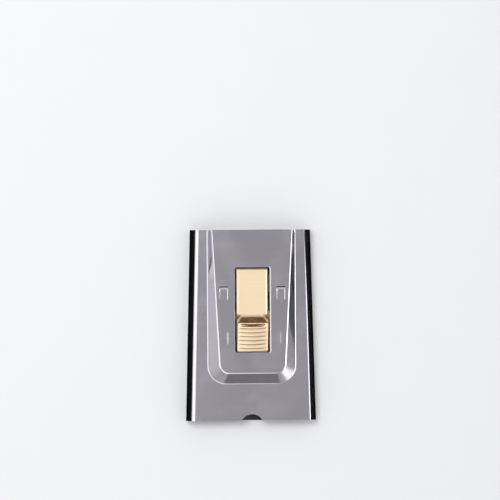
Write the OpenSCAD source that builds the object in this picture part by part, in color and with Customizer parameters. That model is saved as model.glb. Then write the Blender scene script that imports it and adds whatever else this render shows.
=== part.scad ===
// Ceramic hob scraper: a flat pressed-steel case that tapers towards its mouth, with a
// single flat blade on a carrier inside it. A golden thumb slide in the raised channel
// pushes the blade out, and a latch spring catches behind two lances in the channel.
// Millimetres. +Y points out of the mouth, +X to the right, +Z out of the thumb side.
// The origin is under the middle of the case, on the plane of its back.

/* [Case] */
// Length of the case from mouth to rear edge
case_l = 70; // [64:1:80]
// Thickness of the case over its rolled sides
case_t = 6; // [5.6:0.1:7]
// Sheet that the case is pressed from
sheet = 0.6; // [0.5:0.05:0.7]
// How much wider the case is at the rear than at the mouth
case_flare = 3.6; // [0:0.2:6]
// Width of the lips that turn in under the back plate
lip_w = 5.5; // [4:0.1:5.6]
// Depth of the round notch in the rear edge
notch_depth = 2.3; // [1.5:0.1:3]
// Radius of the round notch
notch_r = 4.5; // [3.5:0.1:6]

/* [Raised channel] */
// Width of the channel where it leaves the flat of the case
channel_w = 33; // [31:0.2:34]
// Height of the channel's top over the flat of the case
channel_rise = 2.2; // [2:0.1:2.6]
// Distance from the rear edge of the case to the foot of the channel
channel_rear_gap = 13.3; // [11:0.1:15]
// Width of the channel's flat top at the mouth
top_mouth_w = 29.3; // [28:0.1:29.6]
// Width of the channel's flat top at its rear edge
top_rear_w = 23.4; // [22:0.1:26]
// Run of the sloping rear wall
rear_wall_run = 4.4; // [3:0.1:5.5]
// Radius of the channel's rear corners at its foot
foot_corner_r = 7; // [5:0.1:9]
// Radius of the rear corners of its flat top
top_corner_r = 3.2; // [2:0.1:5]
// Radius of the hollow bend at the foot of its walls
foot_bend_r = 0.8; // [0.5:0.05:0.9]
// Radius of the outer bend at the edge of its flat top
top_bend_r = 0.8; // [0.7:0.05:0.9]

/* [Window and catches] */
// Width of the window that the thumb slide runs in
window_w = 13; // [12.7:0.1:13.6]
// Distance from the mouth to the window
window_mouth_gap = 13.7; // [12.5:0.1:15]
// Radius of the window's corners
window_corner_r = 0.6; // [0.3:0.1:1]
// Distance from the front of the window to the catching edge of the lances
catch_gap = 7.4; // [6.5:0.1:8]
// Distance between the middles of the two lances
catch_pitch = 21.2; // [20.8:0.1:21.4]
// Width of each lance
catch_w = 3.2; // [3:0.1:3.4]
// Length of each lance
catch_l = 4.7; // [3.5:0.1:5.5]
// Width of the slit in front of each lance
catch_slit = 0.35; // [0.2:0.05:0.6]
// Distance between the two long dimples behind the lances
dimple_pitch = 19.6; // [19:0.1:20.4]
// Width of each long dimple
dimple_w = 1.8; // [1.4:0.1:2.2]
// Length of each long dimple
dimple_l = 4.9; // [3.5:0.1:6]
// Depth of each long dimple
dimple_depth = 0.2; // [0.15:0.05:0.5]

/* [Blade] */
// Width of the blade
blade_w = 43; // [42:0.5:46]
// Length of the blade from its edge to its back
blade_l = 22; // [21:0.5:23]
// Thickness of the blade
blade_t = 0.3; // [0.2:0.05:0.4]
// Length of the ground bevel
bevel_l = 1.2; // [0.8:0.1:2]
// Distance that the edge lies inside the mouth at rest
edge_inset = 2.5; // [1.5:0.1:4]
// Clearance between the blade and the case on each side of the mouth
blade_side_gap = 0.2; // [0.1:0.05:0.5]
// Distance between the two locating studs
stud_pitch = 22; // [20:0.5:24]
// Diameter of a locating stud
stud_d = 3; // [2.4:0.1:3.4]

/* [Thumb slide] */
// Travel of the thumb slide from rest to its front stop
slide_travel = 16.9; // [15:0.1:17.2]
// Width of the thumb slide
slide_w = 12.1; // [11.8:0.1:12.2]
// Length of the thumb pad from its rear edge to its foot
pad_l = 14.9; // [14:0.1:16]
// Length of the front slope of the pad
pad_front_run = 4.4; // [4:0.1:5]
// Height of the pad's crest over the flat apron
pad_rise = 2; // [1.6:0.1:2.4]
// Radius of the hollow at the foot of the pad
pad_foot_r = 3.6; // [2.5:0.1:4]
// Radius of the pad's crest
pad_crest_r = 0.5; // [0.3:0.1:0.8]
// Height of the pad's rear edge over the flat apron
pad_rear_rise = 0.6; // [0.4:0.05:1]
// Number of grooves across the pad
groove_count = 7; // [4:1:8]
// Distance between the grooves
groove_pitch = 1.45; // [1.2:0.05:1.5]
// Depth of the grooves
groove_depth = 0.32; // [0.15:0.01:0.4]
// Thickness of the slide's sheet
slide_sheet = 0.5; // [0.4:0.05:0.6]
// Press needed to free the latch
press_travel = 0.8; // [0.6:0.05:0.9]

/* [Carrier and springs] */
// Thickness of the carrier's sheet
carrier_sheet = 0.6; // [0.5:0.05:0.8]
// Width of the carrier
carrier_w = 36.8; // [35.6:0.2:37.4]
// Thickness of the clamp and of the latch spring
spring_sheet = 0.4; // [0.3:0.05:0.5]
// Width of the clamp
clamp_w = 28; // [26:0.5:29]
// Diameter of the rivets that hold the clamp and the latch spring
rivet_d = 2; // [1.6:0.1:2.4]
// Running clearance between the carrier and the case, above and below
run_gap = 0.05; // [0.03:0.01:0.1]

/* [Hidden] */
$fn = 48;

nickel = "silver";
steel = "lightgrey";
gold = "wheat";
spring_blue = "slategrey";

half_l = case_l / 2;
over = 1;

// Case: the blade sets the mouth, and the roll axes run along the tapered sides
mouth_w = blade_w + 2 * (blade_side_gap + sheet);
roll_r = case_t / 2;
taper = atan(case_flare / 2 / case_l);
side_l = case_l / cos(taper);
flat_z = case_t;
under_z = case_t - sheet;
top_z = case_t + channel_rise;
top_under_z = top_z - sheet;
flat_overlap = mouth_w / 2 + 1;
function axis_x(y) = mouth_w / 2 - roll_r + (half_l - y) * tan(taper);

// Back plate: its long edges lie on the lips and its middle drops flush with them
plate_edge_gap = 0.05;
plate_top_z = 2 * sheet;
joggle_run = 0.85;
joggle_gap = 0.1;

// Channel outlines, from past the mouth down the right side, round the rear and back up
foot_half = channel_w / 2;
foot_rear_y = channel_rear_gap - half_l;
top_rear_y = foot_rear_y + rear_wall_run;
top_slope = atan((top_mouth_w - top_rear_w) / 2 / (half_l - top_rear_y));
side_steps = 8;
corner_steps = 6;
rear_steps = 5;
bend_steps = 4;

// Window, lances and dimples
window_front_y = half_l - window_mouth_gap;
pad_rear_gap = 0.1;
stop_run = sqrt(pow(pad_foot_r, 2) - pow(pad_foot_r - run_gap, 2));
window_l = pad_rear_gap + pad_l + slide_travel - stop_run;
window_rear_y = window_front_y - window_l;
catch_y = window_front_y - catch_gap;
catch_web = 0.35;
latch_over = 0.85;
tip_y = catch_y + latch_over - slide_travel;
dimple_front_y = tip_y - pad_rear_gap;
dimple_r = (pow(dimple_w / 2, 2) + pow(dimple_depth, 2)) / (2 * dimple_depth);

// Blade
blade_z = (case_t - blade_t) / 2;
blade_top_z = blade_z + blade_t;
edge_y = half_l - edge_inset;
blade_rear_y = edge_y - blade_l;
stud_y = edge_y - blade_l / 2;
stud_fit = 0.02;
blade_hole_gap = 0.15;
clamp_hole_gap = 0.4;
stud_head_r = stud_d / 2 + 0.7;
head_t = 0.5;
slot_l = 9;
edge_flat = 0.02;

// Carrier: its beads run on the back plate and its wings under the flat of the case
web_top_z = blade_z;
web_z = web_top_z - carrier_sheet;
carrier_setback = 5;
carrier_front_y = edge_y - carrier_setback;
bead_bottom_z = plate_top_z + run_gap;
bead_r = (web_z + web_top_z) / 2 - bead_bottom_z;
bead_x = carrier_w / 2 - 2.6;
wing_top_z = under_z - run_gap;
finger_notch_r = 6;
finger_notch_depth = 3;

// Clamp: flat on the blade, stepped down behind it to lie on the carrier
step_run = 0.35;
clamp_rear_z = web_top_z;
clamp_z = blade_top_z;
clamp_setback = 6.5;
clamp_front_y = edge_y - clamp_setback;
lift_run = 1.6;
lift_rise = 0.6;
ear_x = 7.6;
ear_t = 0.6;
ear_front_y = stud_y - 3.2;
ear_l = 6;
ear_top_z = top_under_z - run_gap;

// Latch spring: a bar under the rivets and two arms that rise to the rear
bar_z = clamp_rear_z + spring_sheet;
rivet_head_r = rivet_d / 2 + 0.9;
bar_l = 2 * rivet_head_r + 0.4;
bar_front_y = blade_rear_y - 0.7;
arm_foot_y = bar_front_y - bar_l;
arm_run = arm_foot_y - tip_y;
arm_top_z = top_under_z - 0.1;
arm_angle = atan((arm_top_z - bar_z - spring_sheet) / arm_run);
arm_inner_x = 6.9;
tip_outer_x = catch_pitch / 2 + catch_w / 2 - 0.2;
tip_inner_x = catch_pitch / 2 - catch_w / 2 + 0.2;
rivet_x = 9.6;
rivet_y = (bar_front_y + arm_foot_y) / 2;
clamp_rear_y = arm_foot_y + 0.2;

// Thumb slide
slide_half = slide_w / 2;
apron_z = top_under_z - run_gap;
skirt_z = apron_z - 1.2;
pad_rear_y = window_rear_y + pad_rear_gap;
foot_y = pad_rear_y + pad_l;
crest_y = foot_y - pad_front_run;
crest_z = apron_z + pad_rise;
pad_rear_z = apron_z + pad_rear_rise;
apron_front_y = window_front_y - 0.6;
apron_corner_r = 0.9;
pad_corner_r = 1.4;
front_roll_r = 0.6;
rear_roll_r = 0.6;
first_groove = 0.75;
groove_bow = 0.3;
leg_front_y = crest_y + 0.9;
leg_rear_y = pad_rear_y + 1.4;
leg_gap = 0.1;
leg_side_gap = 0.2;
hook_w = 1.15;
hook_l = 4.5;
hook_setback = 2.5;
hook_t = 0.5;
hook_top_z = web_z - run_gap;
wing_w = 2.75;
wing_t = 0.5;
wing_l = 2.8;
wing_front_y = arm_foot_y - 0.6;
wing_rear_y = wing_front_y - wing_l;
wing_z = bar_z + spring_sheet + (arm_foot_y - wing_rear_y) * tan(arm_angle) + run_gap;

function arc_points(cx, cy, r, from, to, steps) =
    [for (i = [0:steps]) let (a = from + (to - from) * i / steps) [cx + r * cos(a), cy + r * sin(a)]];

function line_points(a, b, steps) = [for (i = [0:steps - 1]) a + (b - a) * i / steps];

// One outline of the channel: half is its half width at the rear, slope the angle of its sides
function channel_outline(half, rear_y, r, slope) =
    let (cy = rear_y + r,
         cx = half + r * tan(slope) - r / cos(slope),
         tangent = [cx + r * cos(slope), cy - r * sin(slope)],
         front = [half + (half_l + over - rear_y) * tan(slope), half_l + over],
         right = concat(line_points(front, tangent, side_steps),
                        arc_points(cx, cy, r, -slope, -90, corner_steps)),
         rear = [for (i = [1:rear_steps - 1]) [cx * (1 - 2 * i / rear_steps), rear_y]],
         left = [for (i = [len(right) - 1:-1:0]) [-right[i][0], right[i][1]]])
    concat(right, rear, left);

// A wall that climbs rise over run, hollow at its foot and round at its top, as points
// [distance in, height] that lie t deep under its outer face
function wall_section(run, rise, foot_r, top_r, t) =
    let (bends = foot_r + top_r,
         a = atan2(rise - bends, run) + asin(bends / norm([run, rise - bends])))
    concat([for (i = [0:bend_steps]) let (b = a * i / bend_steps)
               [(foot_r + t) * sin(b), foot_r - (foot_r + t) * cos(b)]],
           [for (i = [bend_steps:-1:0]) let (b = a * i / bend_steps)
               [run - (top_r - t) * sin(b), rise - top_r + (top_r - t) * cos(b)]]);

module mirror_pair() {
    children();
    mirror([1, 0, 0]) children();
}

// Runs its child along the right side: local X is outward from the roll axis
module along_side() {
    translate([axis_x(-half_l), -half_l, 0])
        rotate([0, 0, taper])
            children();
}

module trimmed_to_length() {
    intersection() {
        children();
        translate([-blade_w, -half_l, -over]) cube([2 * blade_w, case_l, top_z + 2 * over]);
    }
}

module tapered_plate(inset, z, t) {
    translate([0, 0, z])
        linear_extrude(t)
            polygon([[axis_x(-half_l) - inset, -half_l], [axis_x(half_l) - inset, half_l],
                     [inset - axis_x(half_l), half_l], [inset - axis_x(-half_l), -half_l]]);
}

module rounded_rect(w, l, r) {
    square([w - 2 * r, l], center = true);
    square([w, l - 2 * r], center = true);
    for (x = [-1, 1], y = [-1, 1])
        translate([x * (w / 2 - r), y * (l / 2 - r)]) circle(r);
}

module capsule(r, l) {
    rotate([90, 0, 0]) cylinder(r = r, h = l - 2 * r, center = true);
    for (y = [-1, 1]) translate([0, y * (l / 2 - r), 0]) sphere(r);
}

// Front shell
module side_section() {
    translate([0, roll_r])
        intersection() {
            difference() {
                circle(roll_r);
                circle(roll_r - sheet);
            }
            translate([0, -roll_r]) square([roll_r, 2 * roll_r]);
        }
    translate([-lip_w, 0]) square([lip_w, sheet]);
    translate([-flat_overlap, under_z]) square([flat_overlap, sheet]);
}

module folded_side() {
    along_side()
        translate([0, side_l + over, 0])
            rotate([90, 0, 0])
                linear_extrude(side_l + 2 * over) side_section();
}

module channel_skin() {
    foot = channel_outline(foot_half, foot_rear_y, foot_corner_r, 0);
    top = channel_outline(top_rear_w / 2, top_rear_y, top_corner_r, top_slope);
    last = len(foot) - 1;
    rows = 2 * bend_steps + 1;
    skins = [for (t = [0, sheet], i = [0:last])
        let (run = norm(top[i] - foot[i]), in = (top[i] - foot[i]) / run,
             section = wall_section(run, channel_rise, foot_bend_r, top_bend_r, t))
        for (p = section) [foot[i][0] + in[0] * p[0], foot[i][1] + in[1] * p[0], flat_z + p[1]]];
    under = (last + 1) * (rows + 1);
    function at(i, j) = i * (rows + 1) + j;
    function below(i, j) = under + at(i, j);
    faces = concat(
        [for (i = [0:last - 1], j = [0:rows - 1]) [at(i, j), at(i + 1, j), at(i + 1, j + 1)]],
        [for (i = [0:last - 1], j = [0:rows - 1]) [at(i, j), at(i + 1, j + 1), at(i, j + 1)]],
        [for (i = [0:last - 1], j = [0:rows - 1]) [below(i, j), below(i + 1, j + 1), below(i + 1, j)]],
        [for (i = [0:last - 1], j = [0:rows - 1]) [below(i, j), below(i, j + 1), below(i + 1, j + 1)]],
        [for (i = [0:last - 1]) [at(i + 1, 0), at(i, 0), below(i, 0), below(i + 1, 0)]],
        [[for (i = [0:last]) at(i, rows)]],
        [[for (i = [last:-1:0]) below(i, rows)]],
        [concat([for (j = [0:rows]) at(0, j)], [for (j = [rows:-1:0]) at(last, j)],
                [for (j = [0:rows]) below(last, j)], [for (j = [rows:-1:0]) below(0, j)])]);
    polyhedron(points = skins, faces = faces, convexity = 6);
}

module channel_hole() {
    foot = channel_outline(foot_half, foot_rear_y, foot_corner_r, 0);
    translate([0, 0, under_z - over])
        linear_extrude(sheet + 2 * over)
            polygon(foot);
}

// A lance on the right: a tongue pressed in by one sheet, open at its front edge
module catch_lance() {
    translate([catch_pitch / 2, 0, 0]) {
        rotate([90, 0, 90])
            linear_extrude(catch_w, center = true)
                polygon([[catch_y - catch_l, top_under_z], [catch_y - catch_l, top_z],
                         [catch_y, top_under_z], [catch_y, top_under_z - sheet]]);
        for (side = [-1, 1])
            translate([side * (catch_w - catch_web) / 2, 0, 0])
                rotate([90, 0, 90])
                    linear_extrude(catch_web, center = true)
                        polygon([[catch_y - catch_l, top_under_z], [catch_y - catch_l, top_z],
                                 [catch_y, top_z], [catch_y, top_under_z - sheet]]);
    }
}

module catch_cut() {
    translate([catch_pitch / 2 - catch_w / 2, catch_y - catch_l, top_under_z - over])
        cube([catch_w, catch_l + catch_slit, sheet + 2 * over]);
}

module dimple(r) {
    translate([dimple_pitch / 2, dimple_front_y - dimple_l / 2, top_z + dimple_r - dimple_depth])
        capsule(r, dimple_l + 2 * (r - dimple_w / 2));
}

module front_shell() {
    color(nickel) {
        difference() {
            trimmed_to_length() {
                difference() {
                    mirror_pair() folded_side();
                    channel_hole();
                }
                channel_skin();
                mirror_pair() intersection() {
                    dimple(dimple_r + sheet);
                    translate([0, -half_l, top_under_z - over])
                        cube([foot_half, case_l, over + sheet / 2]);
                }
            }
            translate([0, (window_front_y + window_rear_y) / 2, top_under_z - over])
                linear_extrude(sheet + 2 * over)
                    rounded_rect(window_w, window_l, window_corner_r);
            mirror_pair() catch_cut();
            mirror_pair() dimple(dimple_r);
            translate([0, -half_l - notch_r + notch_depth, under_z - over])
                cylinder(r = notch_r, h = sheet + 2 * over);
        }
        mirror_pair() catch_lance();
    }
}

// Back plate
module plate_side() {
    far = lip_w + joggle_gap;
    along_side()
        translate([0, side_l + over, 0])
            rotate([90, 0, 0])
                linear_extrude(side_l + 2 * over)
                    polygon([[-plate_edge_gap, sheet], [-plate_edge_gap, plate_top_z],
                             [-far - 0.3, plate_top_z], [-far - 0.3 - joggle_run, sheet],
                             [-far - 3, sheet], [-far - 3, 0],
                             [-far - joggle_run, 0], [-far, sheet]]);
}

module back_plate() {
    color(nickel)
        trimmed_to_length() {
            mirror_pair() plate_side();
            tapered_plate(lip_w + 2.5, 0, sheet);
        }
}

// Blade and its studs
module blade() {
    color(steel)
        difference() {
            rotate([90, 0, 90])
                linear_extrude(blade_w, center = true)
                    polygon([[blade_rear_y, blade_z], [blade_rear_y, blade_top_z],
                             [edge_y - bevel_l, blade_top_z], [edge_y, blade_z + blade_t / 2 + edge_flat],
                             [edge_y, blade_z + blade_t / 2 - edge_flat], [edge_y - bevel_l, blade_z]]);
            mirror_pair() stud_hole(blade_hole_gap);
            translate([0, stud_y, blade_z - over])
                linear_extrude(blade_t + 2 * over)
                    rounded_rect(slot_l, stud_d + 2 * blade_hole_gap, stud_d / 2);
        }
}

module stud_hole(gap) {
    translate([stud_pitch / 2, stud_y, 0]) cylinder(r = stud_d / 2 + gap, h = case_t);
}

module blade_stud() {
    tip_z = clamp_z + spring_sheet + 0.2;
    translate([stud_pitch / 2, stud_y, 0]) {
        translate([0, 0, web_z - head_t]) cylinder(r = stud_head_r, h = head_t);
        translate([0, 0, web_z]) cylinder(r = stud_d / 2, h = tip_z - web_z - 0.3);
        translate([0, 0, tip_z - 0.3]) cylinder(r1 = stud_d / 2, r2 = stud_d / 2 - 0.4, h = 0.3);
    }
}

module blade_stud_right() {
    color(steel) blade_stud();
}

module blade_stud_left() {
    color(steel) mirror([1, 0, 0]) blade_stud();
}

// Rivets through the carrier, the clamp and the latch spring
module rivet_hole() {
    translate([rivet_x, rivet_y, 0]) cylinder(r = rivet_d / 2 + stud_fit, h = case_t);
}

module clamp_rivet() {
    head_z = bar_z + spring_sheet;
    translate([rivet_x, rivet_y, 0]) {
        translate([0, 0, web_z - head_t]) cylinder(r = rivet_head_r, h = head_t);
        translate([0, 0, web_z]) cylinder(r = rivet_d / 2, h = head_z - web_z);
        translate([0, 0, head_z])
            intersection() {
                cylinder(r = rivet_head_r, h = 2 * head_t);
                dome_r = (pow(rivet_head_r, 2) + pow(head_t, 2)) / (2 * head_t);
                translate([0, 0, head_t - dome_r]) sphere(dome_r);
            }
    }
}

module clamp_rivet_right() {
    color(steel) clamp_rivet();
}

module clamp_rivet_left() {
    color(steel) mirror([1, 0, 0]) clamp_rivet();
}

// Carrier
module carrier_bead(r, extra) {
    bead_front_y = carrier_front_y - 1.5;
    bead_rear_y = leg_rear_y - 2;
    translate([bead_x, bead_front_y + extra, (web_z + web_top_z) / 2])
        rotate([90, 0, 0])
            cylinder(r = r, h = bead_front_y - bead_rear_y + 2 * extra);
}

module carrier_wing() {
    wing_front = blade_rear_y - 0.6;
    wing_rear = leg_rear_y - 3;
    bend_r = carrier_sheet + 0.3;
    translate([carrier_w / 2, wing_front, 0])
        rotate([90, 0, 0])
            linear_extrude(wing_front - wing_rear) {
                translate([-carrier_sheet, web_z + bend_r])
                    square([carrier_sheet, wing_top_z - web_z - bend_r]);
                translate([-bend_r, web_z + bend_r])
                    intersection() {
                        difference() {
                            circle(bend_r);
                            circle(bend_r - carrier_sheet);
                        }
                        translate([0, -bend_r]) square(bend_r);
                    }
                translate([-2 * bend_r, web_z]) square([bend_r, carrier_sheet]);
            }
}

module blade_carrier() {
    rear_y = leg_rear_y - 3.5;
    wing_front = blade_rear_y - 0.6;
    color(steel)
        difference() {
            union() {
                difference() {
                    translate([0, (carrier_front_y + rear_y) / 2, web_z])
                        linear_extrude(carrier_sheet)
                            rounded_rect(carrier_w, carrier_front_y - rear_y, 1.2);
                    mirror_pair()
                        translate([carrier_w / 2 - 1.5, rear_y - over, web_z - over])
                            cube([over + 1.5, wing_front - rear_y + over, carrier_sheet + 2 * over]);
                }
                mirror_pair() carrier_wing();
                mirror_pair() intersection() {
                    carrier_bead(bead_r, 0);
                    translate([0, -half_l, 0]) cube([carrier_w / 2, case_l, web_top_z]);
                }
            }
            mirror_pair() carrier_bead(bead_r - carrier_sheet, 0.1);
            mirror_pair() stud_hole(stud_fit);
            mirror_pair() rivet_hole();
            mirror_pair() leg_slot();
            translate([0, carrier_front_y + finger_notch_r - finger_notch_depth, web_z - over])
                cylinder(r = finger_notch_r, h = carrier_sheet + 2 * over);
        }
}

module leg_slot() {
    translate([slide_half - slide_sheet - leg_side_gap, leg_rear_y - leg_gap, web_z - over])
        cube([slide_sheet + 2 * leg_side_gap, leg_front_y - leg_rear_y + 2 * leg_gap,
              carrier_sheet + 2 * over]);
}

// Clamp
module clamp_ear() {
    translate([ear_x, ear_front_y - ear_l, clamp_z])
        cube([ear_t, ear_l, ear_top_z - clamp_z]);
}

module ear_opening() {
    ear_h = ear_top_z - clamp_z;
    translate([ear_x - ear_h + spring_sheet, ear_front_y - ear_l, clamp_z - over])
        cube([ear_h - spring_sheet, ear_l, spring_sheet + 2 * over]);
}

module blade_clamp() {
    t = spring_sheet;
    step_y = blade_rear_y - 0.05;
    color(steel)
        difference() {
            union() {
                difference() {
                    rotate([90, 0, 90])
                        linear_extrude(clamp_w, center = true)
                            polygon([[clamp_rear_y, clamp_rear_z], [clamp_rear_y, clamp_rear_z + t],
                                     [step_y - step_run - 0.1, clamp_rear_z + t],
                                     [step_y - 0.1, clamp_z + t],
                                     [clamp_front_y - lift_run - 0.1, clamp_z + t],
                                     [clamp_front_y, clamp_z + t + lift_rise],
                                     [clamp_front_y, clamp_z + lift_rise],
                                     [clamp_front_y - lift_run, clamp_z], [step_y, clamp_z],
                                     [step_y - step_run, clamp_rear_z]]);
                    mirror_pair() ear_opening();
                }
                mirror_pair() clamp_ear();
            }
            mirror_pair() stud_hole(clamp_hole_gap);
            mirror_pair() rivet_hole();
        }
}

// Latch spring
module latch_profile(rear_y) {
    fall = spring_sheet / cos(arm_angle);
    foot_shift = (fall - spring_sheet) / tan(arm_angle);
    rear_top_z = bar_z + spring_sheet + (arm_foot_y - rear_y) * tan(arm_angle);
    rotate([90, 0, 90])
        linear_extrude(1)
            polygon([[arm_foot_y + over, bar_z], [arm_foot_y + over, bar_z + spring_sheet],
                     [arm_foot_y, bar_z + spring_sheet], [rear_y, rear_top_z],
                     [rear_y, rear_top_z - fall], [arm_foot_y - foot_shift, bar_z]]);
}

module latch_arm() {
    shoulder_y = tip_y + arm_run * 0.42;
    translate([arm_inner_x, 0, 0])
        scale([tip_outer_x - arm_inner_x, 1, 1]) latch_profile(shoulder_y);
    translate([tip_inner_x, 0, 0])
        scale([tip_outer_x - tip_inner_x, 1, 1]) latch_profile(tip_y);
}

module latch_spring() {
    color(spring_blue)
        difference() {
            union() {
                translate([-tip_outer_x, arm_foot_y, bar_z])
                    cube([2 * tip_outer_x, bar_front_y - arm_foot_y, spring_sheet]);
                mirror_pair() latch_arm();
            }
            mirror_pair() rivet_hole();
        }
}

// Thumb slide
function pad_slope_z(y) = crest_z - (crest_y - y) / (crest_y - pad_rear_y) * (crest_z - pad_rear_z);

function corner_r_at(y) =
    apron_corner_r + (pad_corner_r - apron_corner_r) * min(1, max(0, (foot_y - y) / pad_front_run));

// Stations from front to rear as [y, top z, groove depth, bow]
front_stations = concat(
    [for (i = [0:bend_steps]) let (a = 90 * i / bend_steps)
        [apron_front_y - front_roll_r * (1 - cos(a)), apron_z - front_roll_r * (1 - sin(a)), 0, 0]],
    [for (p = wall_section(pad_front_run, pad_rise, pad_foot_r, pad_crest_r, 0))
        [foot_y - p[0], apron_z + p[1], 0, 0]]);
groove_stations = [for (k = [0:groove_count - 1], f = [-0.3, -0.1, 0, 0.1, 0.3])
    let (y = crest_y - first_groove - (k + f) * groove_pitch)
    [y, pad_slope_z(y), groove_depth * (1 - abs(f) * 3), 1]];
rear_stations = [for (i = [0:bend_steps]) let (a = 90 * i / bend_steps)
    [pad_rear_y + rear_roll_r * (1 - sin(a)), pad_rear_z - rear_roll_r * (1 - cos(a)), 0, 0]];

function stations_inside(inset) =
    let (kept = [for (s = concat(front_stations, rear_stations))
                    if (s[0] < apron_front_y - inset && s[0] > pad_rear_y + inset) s])
    concat([[apron_front_y - inset, kept[0][1], 0, 0]], kept,
           [[pad_rear_y + inset, kept[len(kept) - 1][1], 0, 0]]);

// Section across the slide from its right skirt over the top to its left skirt
function slide_section(s, half, r0, bottom, drop) =
    let (z = s[1] - drop, r = min(r0, z - bottom - 0.05), corner = 5,
         half_top = [for (i = [0:corner]) let (a = 90 * i / corner)
             [half - r + r * cos(a), z - r + r * sin(a), i / corner]],
         right = concat([[half, bottom, 0]], half_top, [[(half - r) / 2, z, 1]]),
         left = [for (i = [len(right) - 1:-1:0]) [-right[i][0], right[i][1], right[i][2]]])
    [for (p = concat(right, [[0, z, 1]], left))
        [p[0], s[0] + s[3] * groove_bow * pow(p[0] / half, 2), p[1] - s[2] * p[2]]];

module slide_loft(stations, half, bottom, drop, corner_cut) {
    sections = [for (s = stations) slide_section(s, half, corner_r_at(s[0]) - corner_cut, bottom, drop)];
    n = len(sections[0]);
    last = len(sections) - 1;
    points = [for (section = sections, p = section) p];
    function at(k, m) = k * n + m;
    polyhedron(points = points, convexity = 8, faces = concat(
        [[for (m = [0:n - 1]) at(0, m)]],
        [[for (m = [n - 1:-1:0]) at(last, m)]],
        [for (k = [0:last - 1], m = [0:n - 2]) [at(k, m), at(k + 1, m), at(k + 1, m + 1)]],
        [for (k = [0:last - 1], m = [0:n - 2]) [at(k, m), at(k + 1, m + 1), at(k, m + 1)]],
        [for (k = [0:last - 1]) [at(k, 0), at(k, n - 1), at(k + 1, n - 1)]],
        [for (k = [0:last - 1]) [at(k, 0), at(k + 1, n - 1), at(k + 1, 0)]]));
}

module slide_leg() {
    leg_bottom_z = hook_top_z - hook_t;
    translate([slide_half - slide_sheet, leg_rear_y, leg_bottom_z])
        cube([slide_sheet, leg_front_y - leg_rear_y, skirt_z + 0.3 - leg_bottom_z]);
    translate([slide_half - slide_sheet / 2, leg_rear_y + hook_setback, leg_bottom_z])
        cube([hook_w + slide_sheet / 2, hook_l, hook_t]);
    translate([slide_half - slide_sheet, leg_front_y - over, wing_z])
        cube([slide_sheet, wing_front_y - leg_front_y + over, skirt_z + 0.3 - wing_z]);
    translate([slide_half - slide_sheet / 2, wing_rear_y, wing_z])
        cube([wing_w + slide_sheet / 2, wing_front_y - wing_rear_y, wing_t]);
}

module thumb_slide() {
    color(gold) {
        difference() {
            slide_loft(concat(front_stations, groove_stations, rear_stations), slide_half, skirt_z, 0, 0);
            slide_loft(stations_inside(slide_sheet), slide_half - slide_sheet, skirt_z - over,
                       slide_sheet + groove_depth / 2, slide_sheet * 0.8);
        }
        mirror_pair() slide_leg();
    }
}

front_shell();
back_plate();
blade_carrier();
blade();
blade_clamp();
blade_stud_left();
blade_stud_right();
clamp_rivet_left();
clamp_rivet_right();
latch_spring();
thumb_slide();
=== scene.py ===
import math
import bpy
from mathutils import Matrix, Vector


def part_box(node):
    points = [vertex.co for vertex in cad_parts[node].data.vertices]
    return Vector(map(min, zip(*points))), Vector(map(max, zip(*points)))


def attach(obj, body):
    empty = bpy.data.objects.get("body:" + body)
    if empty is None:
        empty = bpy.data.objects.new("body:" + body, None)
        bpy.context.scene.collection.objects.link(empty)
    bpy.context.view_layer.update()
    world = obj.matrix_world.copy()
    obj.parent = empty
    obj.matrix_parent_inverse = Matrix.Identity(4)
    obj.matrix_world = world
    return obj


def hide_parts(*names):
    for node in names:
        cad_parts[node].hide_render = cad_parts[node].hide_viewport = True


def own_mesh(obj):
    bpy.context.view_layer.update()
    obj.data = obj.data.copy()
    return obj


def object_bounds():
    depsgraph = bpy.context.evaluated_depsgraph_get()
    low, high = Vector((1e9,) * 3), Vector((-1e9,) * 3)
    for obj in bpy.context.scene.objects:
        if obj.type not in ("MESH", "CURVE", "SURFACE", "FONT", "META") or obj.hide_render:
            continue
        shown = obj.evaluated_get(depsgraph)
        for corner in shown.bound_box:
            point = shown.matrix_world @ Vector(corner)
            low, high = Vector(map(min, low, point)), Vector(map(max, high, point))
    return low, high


bl_info = {
    "name": "Ceramic Hob Scraper",
    "version": (1, 0, 0),
    "blender": (4, 5, 0),
    "location": "3D Viewport > Sidebar > Hob Scraper",
    "description": "Dresses the packed frame of a pocket hob scraper and sets its stage",
    "category": "Add Mesh",
}

import bmesh
import bpy
from bpy.props import FloatProperty, FloatVectorProperty, IntProperty, PointerProperty
from mathutils import Matrix, Vector

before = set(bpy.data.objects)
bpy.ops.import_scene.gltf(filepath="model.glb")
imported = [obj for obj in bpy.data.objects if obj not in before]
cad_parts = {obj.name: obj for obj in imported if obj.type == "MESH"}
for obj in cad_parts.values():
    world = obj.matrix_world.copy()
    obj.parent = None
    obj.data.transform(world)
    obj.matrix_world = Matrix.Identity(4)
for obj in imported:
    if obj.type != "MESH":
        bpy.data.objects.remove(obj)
cad_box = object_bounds()
shell_low, shell_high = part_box("front_shell")
slide_low, slide_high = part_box("thumb_slide")

MM = 0.001
CASE = "case"
CARRIER = "carrier"
THUMB = "thumb"


# Sizes and colours


def metres(name, description, default):
    """A length."""
    return FloatProperty(name=name, description=description, default=default, unit="LENGTH")


def degrees(name, description, default):
    """An angle, whose default is given in degrees."""
    return FloatProperty(name=name, description=description, default=math.radians(default),
                         subtype="ANGLE")


def tint(name, description, default):
    """A colour."""
    return FloatVectorProperty(name=name, description=description, default=default,
                               subtype="COLOR", size=3)


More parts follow.
